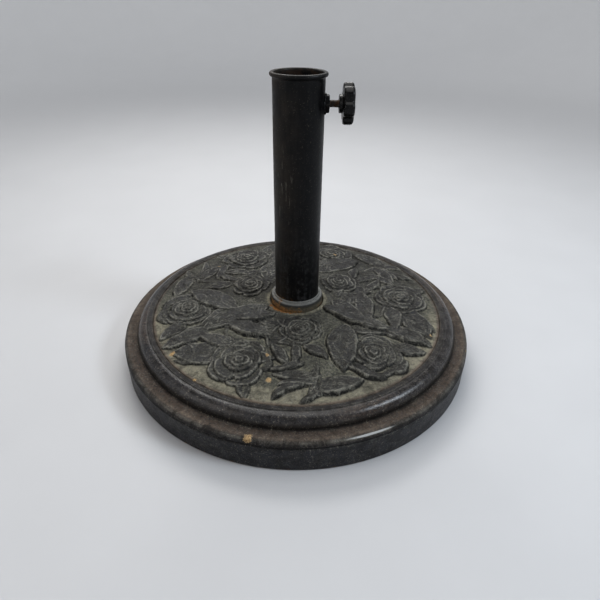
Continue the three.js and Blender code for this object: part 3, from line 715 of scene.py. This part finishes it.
# ---------------------------------------------------------------- materials
class Finish:
    """a node material with a Principled shader, built a node at a time"""

    def __init__(self, name):
        self.material = bpy.data.materials.new(name)
        self.material.use_nodes = True
        self.tree = self.material.node_tree
        self.tree.nodes.clear()
        self.shader = self.tree.nodes.new("ShaderNodeBsdfPrincipled")
        output = self.tree.nodes.new("ShaderNodeOutputMaterial")
        self.tree.links.new(self.shader.outputs[0], output.inputs[0])
        self.place = self.tree.nodes.new("ShaderNodeTexCoord").outputs["Object"]

    def put(self, socket, value):
        if isinstance(value, bpy.types.NodeSocket):
            self.tree.links.new(value, socket)
        else:
            socket.default_value = value

    def math(self, operation, a, b=0.5, clamp=False):
        node = self.tree.nodes.new("ShaderNodeMath")
        node.operation, node.use_clamp = operation, clamp
        self.put(node.inputs[0], a)
        self.put(node.inputs[1], b)
        return node.outputs[0]

    def times(self, a, b, clamp=False):
        return self.math("MULTIPLY", a, b, clamp)

    def plus(self, a, b, clamp=False):
        return self.math("ADD", a, b, clamp)

    def centred(self, value):
        return self.math("SUBTRACT", value, 0.5)

    def ramp(self, value, low, high, to_low=0.0, to_high=1.0):
        node = self.tree.nodes.new("ShaderNodeMapRange")
        node.interpolation_type = "SMOOTHSTEP"
        for key, item in (("Value", value), ("From Min", low), ("From Max", high),
                          ("To Min", to_low), ("To Max", to_high)):
            self.put(node.inputs[key], item)
        return node.outputs[0]

    def stretched(self, scale):
        """the object's coordinates, scaled along each axis"""
        node = self.tree.nodes.new("ShaderNodeMapping")
        self.put(node.inputs["Vector"], self.place)
        node.inputs["Scale"].default_value = scale
        return node.outputs[0]

    def noise(self, scale, detail=4.0, rough=0.6, distort=0.0, vector=None):
        node = self.tree.nodes.new("ShaderNodeTexNoise")
        self.put(node.inputs["Vector"], vector or self.place)
        node.inputs["Scale"].default_value = scale
        node.inputs["Detail"].default_value = detail
        node.inputs["Roughness"].default_value = rough
        node.inputs["Distortion"].default_value = distort
        return node.outputs[0]

    def attribute(self, name):
        node = self.tree.nodes.new("ShaderNodeAttribute")
        node.attribute_name = name
        return node.outputs["Fac"]

    def split(self):
        node = self.tree.nodes.new("ShaderNodeSeparateXYZ")
        self.put(node.inputs[0], self.place)
        return node.outputs

    def mix(self, share, a, b):
        node = self.tree.nodes.new("ShaderNodeMix")
        node.data_type = "RGBA"
        self.put(node.inputs[0], share)
        self.put(node.inputs[6], a)
        self.put(node.inputs[7], b)
        return node.outputs[2]

    def grain(self, value, low, high, dark, light):
        """a colour that turns from dark to light as the value passes from low to high"""
        return self.mix(self.ramp(value, low, high), dark, light)

    def line(self, value, width):
        """1 where the value is near 0.5, and 0 beyond the width"""
        return self.ramp(self.math("ABSOLUTE", self.centred(value)), 0.0, width, 1.0, 0.0)

    def length(self, *parts):
        """the length of a vector given as one socket, or by its first parts"""
        node = self.tree.nodes.new("ShaderNodeVectorMath")
        node.operation = "LENGTH"
        vector = parts[0]
        if len(parts) > 1:
            joined = self.tree.nodes.new("ShaderNodeCombineXYZ")
            for socket, part in zip(joined.inputs, parts):
                self.put(socket, part)
            vector = joined.outputs[0]
        self.put(node.inputs[0], vector)
        return node.outputs["Value"]

    def bump(self, height, distance, strength=1.0, normal=None):
        node = self.tree.nodes.new("ShaderNodeBump")
        self.put(node.inputs["Height"], height)
        node.inputs["Distance"].default_value = distance
        self.put(node.inputs["Strength"], strength)
        if normal is not None:
            self.put(node.inputs["Normal"], normal)
        return node.outputs[0]

    def done(self, **sockets):
        for key, value in sockets.items():
            self.put(self.shader.inputs[key.replace("_", " ")], value)
        return self.material


def rgb(r, g, b):
    return (r, g, b, 1.0)


def casting_finish():
    """worn near-black paint with dust, brown stain, chips and rust, with painted shade in creases and
    grooves, a painted shadow along the wall's foot and a painted highlight on the lip, placed by the mesh's
    attributes
    """
    f = Finish("casting")
    gloss = f.attribute("gloss")
    broad = f.noise(17, 4, 0.6)
    middle = f.noise(95, 6, 0.65, 0.4)
    grit = f.noise(330, 6, 0.8)
    fine = f.noise(1200, 4, 0.75)

    paint = f.grain(middle, 0.38, 0.62, rgb(0.0055, 0.0062, 0.0080), rgb(0.018, 0.020, 0.0255))
    brown = f.times(f.ramp(grit, 0.35, 0.62), f.attribute("brown"))
    colour = f.mix(brown, paint, rgb(0.060, 0.040, 0.029))

    patch = f.times(f.ramp(middle, 0.30, 0.66, 0.45, 1.2), f.ramp(broad, 0.35, 0.65, 0.65, 1.2))
    dust = f.times(f.attribute("dust"), patch)
    dust = f.times(dust, f.ramp(grit, 0.36, 0.60, 0.62, 1.2), True)
    dust_colour = f.grain(grit, 0.38, 0.62, rgb(0.080, 0.082, 0.066), rgb(0.185, 0.182, 0.142))
    dust_colour = f.mix(f.ramp(f.attribute("dust"), 0.6, 1.0), dust_colour, rgb(0.25, 0.235, 0.18))
    dust_colour = f.mix(f.attribute("carved"), rgb(0.165, 0.135, 0.108), dust_colour)
    colour = f.mix(dust, colour, dust_colour)
    # painted shade: the colour turns near black on steep walls, in creases and in grooves
    colour = f.mix(f.times(f.attribute("painted_shade"), 0.92), colour, rgb(0.004, 0.004, 0.004))

    # thin curved lines where a noise passes its middle value, like the carver's tool marks
    coarse_line = f.line(f.noise(42, 3, 0.5, 1.2), 0.022)
    fine_line = f.line(f.noise(90, 3, 0.5, 0.8), 0.03)
    carved = f.times(f.attribute("carved"), f.math("MAXIMUM", coarse_line, fine_line))
    worn = f.times(f.attribute("wear"), f.ramp(middle, 0.38, 0.62, 0.1, 0.9))
    worn = f.math("MAXIMUM", worn, f.times(carved, f.ramp(broad, 0.40, 0.62, 0.1, 0.6)))
    streak = f.line(f.noise(190, 4, 0.6, 1.6), 0.03)
    scratched = f.times(streak, f.ramp(f.noise(60, 3, 0.6), 0.45, 0.62, 0.0, 0.32))
    scratched = f.times(scratched, f.ramp(gloss, 0.3, 1, 1.0, 0.35))
    worn = f.math("MAXIMUM", worn, scratched)
    worn_colour = f.grain(fine, 0.35, 0.65, rgb(0.105, 0.105, 0.092), rgb(0.31, 0.30, 0.255))
    colour = f.mix(worn, colour, worn_colour)
    # a pale line on the lip's edge: worn paint and a painted highlight
    colour = f.mix(f.ramp(f.attribute("scuff_and_highlight"), 0.25, 0.7), colour, rgb(0.45, 0.46, 0.46))

    speck = f.times(f.ramp(f.noise(560, 3, 0.75), 0.57, 0.66), f.ramp(middle, 0.38, 0.60, 0.15, 0.85))
    colour = f.mix(speck, colour, rgb(0.21, 0.19, 0.155))
    ragged = f.times(f.centred(grit), 2.4)
    chip = f.plus(f.attribute("chip"), f.times(f.centred(fine), 1.6))
    chip = f.ramp(f.plus(chip, f.times(ragged, 0.3)), 0.50, 0.66)
    chip_colour = f.grain(fine, 0.35, 0.65, rgb(0.16, 0.095, 0.04), rgb(0.55, 0.40, 0.22))
    colour = f.mix(chip, colour, chip_colour)
    # real rust by the collar, and a painted shadow in the same colours along the wall's foot
    rust = f.ramp(f.plus(f.attribute("rust"), ragged), 0.55, 0.85)
    rust_colour = f.grain(fine, 0.35, 0.65, rgb(0.055, 0.022, 0.008), rgb(0.32, 0.155, 0.05))
    colour = f.mix(rust, colour, rust_colour)

    rough = f.plus(f.ramp(gloss, 0, 1, 0.62, 0.21), f.times(dust, 0.40))
    rough = f.plus(rough, f.times(f.centred(grit), 0.35), True)
    normal = f.bump(middle, 0.0018, f.ramp(gloss, 0, 1, 0.55, 0.14))
    normal = f.bump(carved, 0.0007, 0.8, normal)
    normal = f.bump(grit, 0.0009, f.ramp(gloss, 0, 1, 0.6, 0.25), normal)
    shine = f.ramp(gloss, 0, 1, 0.25, 0.5)
    return f.done(Base_Color=colour, Roughness=rough, Normal=normal, Specular_IOR_Level=shine)


def tube_finish():
    """black paint, dusty and scratched on the left, with a rusty bore and rust at the foot"""
    f = Finish("tube_paint")
    x, y, z = f.split()
    broad = f.noise(22, 3)
    middle = f.noise(160, 5, 0.6)
    fine = f.noise(1300, 3, 0.6)
    streak = f.noise(1, 6, 0.7, 0.6, f.stretched((210, 210, 22)))
    side = f.ramp(x, -0.028, 0.012, 1.0, 0.0)

    paint = f.mix(middle, rgb(0.0022, 0.0024, 0.0030), rgb(0.0044, 0.0048, 0.0058))
    dust = f.times(f.ramp(f.plus(broad, f.times(streak, 0.5)), 0.55, 1.0), side)
    dust = f.times(dust, 0.38)
    colour = f.mix(dust, paint, rgb(0.075, 0.057, 0.040))

    high = f.times(f.ramp(z, 0.17, 0.21), f.ramp(z, 0.29, 0.24))
    scratch = f.noise(1, 3, 0.6, 0.3, f.stretched((420, 420, 45)))
    scratch = f.times(f.ramp(scratch, 0.60, 0.66), f.times(high, side))
    colour = f.mix(f.times(scratch, 0.6), colour, rgb(0.17, 0.16, 0.14))
    low = f.times(f.ramp(z, 0.19, 0.08, 0.1, 0.8), f.ramp(middle, 0.40, 0.62))
    colour = f.mix(f.times(low, f.ramp(streak, 0.40, 0.60)), colour, rgb(0.046, 0.046, 0.047))
    speck = f.times(f.ramp(f.noise(700, 3, 0.6), 0.62, 0.70), 0.55)
    colour = f.mix(speck, colour, rgb(0.11, 0.095, 0.072))

    bore = f.ramp(f.length(x, y), 0.0267, 0.0271, 1.0, 0.0)
    rust = f.times(bore, f.ramp(middle, 0.42, 0.68))
    colour = f.mix(rust, colour, f.mix(fine, rgb(0.018, 0.010, 0.006), rgb(0.06, 0.034, 0.020)))
    foot = f.times(f.ramp(z, 0.0835, 0.0775), f.ramp(x, 0.004, -0.012))
    foot = f.times(foot, f.ramp(f.noise(420, 5, 0.8), 0.46, 0.66))
    colour = f.mix(foot, colour, f.mix(fine, rgb(0.05, 0.024, 0.010), rgb(0.34, 0.18, 0.06)))

    rough = f.plus(f.ramp(middle, 0.3, 0.7, 0.34, 0.46), f.times(dust, 0.4))
    rough = f.plus(rough, f.times(rust, 0.3), True)
    normal = f.bump(f.noise(520, 2, 0.5), 0.00035, 0.3)
    return f.done(Base_Color=colour, Roughness=rough, Normal=normal, Specular_IOR_Level=0.24)


def collar_finish():
    """grey-black paint with a pale lip, dust on the wall and rust at the front left"""
    f = Finish("collar")
    x, y, z = f.split()
    middle = f.noise(150, 5, 0.65)
    grit = f.noise(520, 6, 0.8)
    fine = f.noise(1500, 3, 0.7)
    colour = f.grain(middle, 0.35, 0.65, rgb(0.016, 0.016, 0.016), rgb(0.034, 0.033, 0.031))
    lip = f.times(f.ramp(z, 0.0735, 0.0755), f.ramp(grit, 0.34, 0.6, 0.5, 1.0))
    colour = f.mix(lip, colour, rgb(0.19, 0.19, 0.18))
    dust = f.times(f.ramp(z, 0.0745, 0.068), f.ramp(grit, 0.36, 0.60, 0.25, 0.95))
    colour = f.mix(dust, colour, rgb(0.155, 0.138, 0.102))
    left = f.plus(f.ramp(x, 0.020, -0.020, 0.0, 0.42), f.ramp(z, 0.0745, 0.067, -0.16, 0.26))
    front = f.times(left, f.ramp(y, 0.02, -0.012))
    ragged = f.times(f.plus(f.centred(grit), f.centred(middle)), 2.2)
    rust = f.ramp(f.plus(front, ragged), 0.40, 0.56)
    rust_colour = f.grain(fine, 0.38, 0.62, rgb(0.060, 0.024, 0.009), rgb(0.42, 0.25, 0.11))
    colour = f.mix(rust, colour, rust_colour)
    rough = f.ramp(grit, 0.3, 0.7, 0.42, 0.75)
    normal = f.bump(grit, 0.0005, 0.5)
    return f.done(Base_Color=colour, Roughness=rough, Normal=normal, Specular_IOR_Level=0.4)


def steel_finish(name, bare, rusty, amount):
    """bare steel with rust in patches, which spread as the amount grows"""
    f = Finish(name)
    middle = f.noise(260, 5, 0.65, 0.5)
    fine = f.noise(1700, 4, 0.7)
    rust = f.ramp(f.plus(middle, f.times(fine, 0.25)), 0.75 - amount, 0.95 - amount)
    colour = f.mix(rust, bare, f.mix(fine, rusty, rgb(0.13, 0.065, 0.028)))
    rough = f.ramp(rust, 0, 1, 0.38, 0.82)
    metal = f.ramp(rust, 0, 1, 0.95, 0.15)
    normal = f.bump(fine, 0.0002, 0.5)
    return f.done(Base_Color=colour, Roughness=rough, Metallic=metal, Normal=normal)


def plastic_finish(name, dark, light, rough_low, rough_high, dust_colour, dust_amount):
    f = Finish(name)
    middle = f.noise(190, 5, 0.6)
    fine = f.noise(1500, 4, 0.65)
    dust = f.times(f.ramp(f.plus(middle, f.times(fine, 0.4)), 0.62, 0.95), dust_amount)
    colour = f.mix(middle, dark, light)
    colour = f.mix(dust, colour, dust_colour)
    rough = f.plus(f.ramp(middle, 0.3, 0.7, rough_low, rough_high), f.times(dust, 0.3))
    normal = f.bump(fine, 0.00012, 0.35)
    return f.done(Base_Color=colour, Roughness=rough, Normal=normal, Specular_IOR_Level=0.32)


def floor_finish():
    f = Finish("floor")
    middle = f.noise(9, 3, 0.5)
    colour = f.mix(middle, rgb(0.54, 0.545, 0.56), rgb(0.58, 0.585, 0.60))
    # the far floor shines a little, as a lit studio does beyond the lamps
    glow = f.ramp(f.length(f.place), 0.9, 3.0, 0.0, 0.18)
    f.shader.inputs["Emission Color"].default_value = rgb(0.98, 0.99, 1.0)
    return f.done(Base_Color=colour, Roughness=f.ramp(middle, 0, 1, 0.55, 0.7), Emission_Strength=glow)


# ---------------------------------------------------------------- stage
WALL_R, WALL_TOP, BEND = 3000.0, 2600.0, 800.0


def stage():
    """a round floor that turns up into a wall all round the object"""
    sides = 64
    rows = [(radius, 0.0) for radius in (100.0, 400.0, 900.0, 1500.0)]
    rows += [(WALL_R - BEND + BEND * math.sin(a), BEND - BEND * math.cos(a))
             for a in np.radians(np.linspace(0, 90, 13))]
    rows += [(WALL_R, WALL_TOP)]
    faces = [tuple(range(sides))]
    for i in range(len(rows) - 1):
        inner, outer = range(i * sides, (i + 1) * sides), range((i + 1) * sides, (i + 2) * sides)
        faces += strip(outer, inner)
    floor = linked("floor", smooth_mesh("floor", np.concatenate(lathe_rings(rows, sides)), faces))
    floor.data.materials.append(floor_finish())


def area_light(name, place, target, size, power, colour):
    lamp = bpy.data.lights.new(name, "AREA")
    lamp.shape = "RECTANGLE"
    lamp.size, lamp.size_y = size
    lamp.energy = power
    lamp.color = colour
    obj = linked(name, lamp)
    obj.visible_camera = False
    obj.location = Vector(place)
    obj.rotation_euler = (Vector(target) - Vector(place)).to_track_quat("-Z", "Y").to_euler()


def lights():
    area_light("back", (-0.15, 0.95, 1.25), (0, 0, 0.05), (1.2, 0.5), 12, (1.0, 0.985, 0.96))
    area_light("overhead", (0.0, 0.1, 1.6), (0, 0, 0), (1.2, 1.0), 6.5, (1.0, 0.99, 0.97))
    area_light("window", (1.11, -0.43, 1.13), (0, 0, 0.1), (0.36, 0.36), 8.5, (0.84, 0.92, 1.0))
    area_light("fill", (-1.1, -0.7, 0.9), (0, 0, 0.1), (1.2, 1.0), 3.2, (1.0, 0.96, 0.92))
    world = bpy.data.worlds.new("studio")
    world.use_nodes = True
    background = world.node_tree.nodes["Background"]
    background.inputs["Color"].default_value = rgb(0.93, 0.96, 1.0)
    background.inputs["Strength"].default_value = 0.17
    bpy.context.scene.world = world


# the camera that was fitted to the photo: degrees, metres, and lens and sensor in millimetres
PITCH_DOWN, YAW_RIGHT, ROLL = 32.986, 0.466, 0.783
CAMERA_PLACE = (0, -0.5469, 0.4169)
LENS, SENSOR = 28.68, 36


def camera():
    pitch, yaw, roll = math.radians(PITCH_DOWN), math.radians(YAW_RIGHT), math.radians(ROLL)
    forward = Vector((math.sin(yaw) * math.cos(pitch), math.cos(yaw) * math.cos(pitch), -math.sin(pitch)))
    level = Vector((math.cos(yaw), -math.sin(yaw), 0))
    upright = level.cross(forward)
    right = level * math.cos(roll) + upright * math.sin(roll)
    up = upright * math.cos(roll) - level * math.sin(roll)
    data = bpy.data.cameras.new("camera")
    data.lens, data.sensor_width = LENS, SENSOR
    obj = linked("camera", data)
    turn = Matrix((right, up, -forward)).transposed()
    obj.matrix_world = Matrix.Translation(CAMERA_PLACE) @ turn.to_4x4()
    bpy.context.scene.camera = obj


# ---------------------------------------------------------------- assembly
def paint(obj, material):
    obj.data.materials.clear()
    obj.data.materials.append(material)


CASTING = casting_finish()
TUBE = tube_finish()
COLLAR = collar_finish()
ZINC = steel_finish("zinc_steel", rgb(0.42, 0.42, 0.41), rgb(0.10, 0.06, 0.035), 0.02)
SCREW = steel_finish("screw_steel", rgb(0.13, 0.115, 0.105), rgb(0.032, 0.019, 0.013), 0.20)
KNOB = plastic_finish("knob_plastic", rgb(0.0025, 0.0025, 0.003), rgb(0.0045, 0.0045, 0.005),
                      0.24, 0.36, rgb(0.05, 0.048, 0.042), 0.12)
NYLON = plastic_finish("tip_nylon", rgb(0.52, 0.50, 0.43), rgb(0.60, 0.58, 0.52),
                       0.40, 0.5, rgb(0.20, 0.16, 0.11), 0.5)
RUBBER = plastic_finish("pad_rubber", rgb(0.014, 0.014, 0.014), rgb(0.024, 0.024, 0.024),
                        0.7, 0.85, rgb(0.15, 0.14, 0.12), 0.6)

paint(casting_relief(), CASTING)
paint(casting_body(), CASTING)
paint(pole_tube(), TUBE)
paint(tube_collar(), COLLAR)
paint(clamp_nut(), TUBE)
paint(nut_weld(), TUBE)
paint(clamp_screw(), SCREW)
paint(screw_tip(), NYLON)
paint(knob_head(), KNOB)
paint(knob_cap(), KNOB)
# the CAD nodes that no piece replaces
NODE_FINISH = {"zinc_steel": ZINC, "tube_paint": TUBE, "pad_rubber": RUBBER}
for part in frame["record"]["subparts"]:
    node = frame["nodes"][part["node"]]
    if not node.hide_render:
        paint(node, NODE_FINISH[part["material_slot"]])

stage()
lights()
camera()
bpy.context.scene.view_settings.view_transform = "Standard"
bpy.context.scene.view_settings.look = "Medium High Contrast"
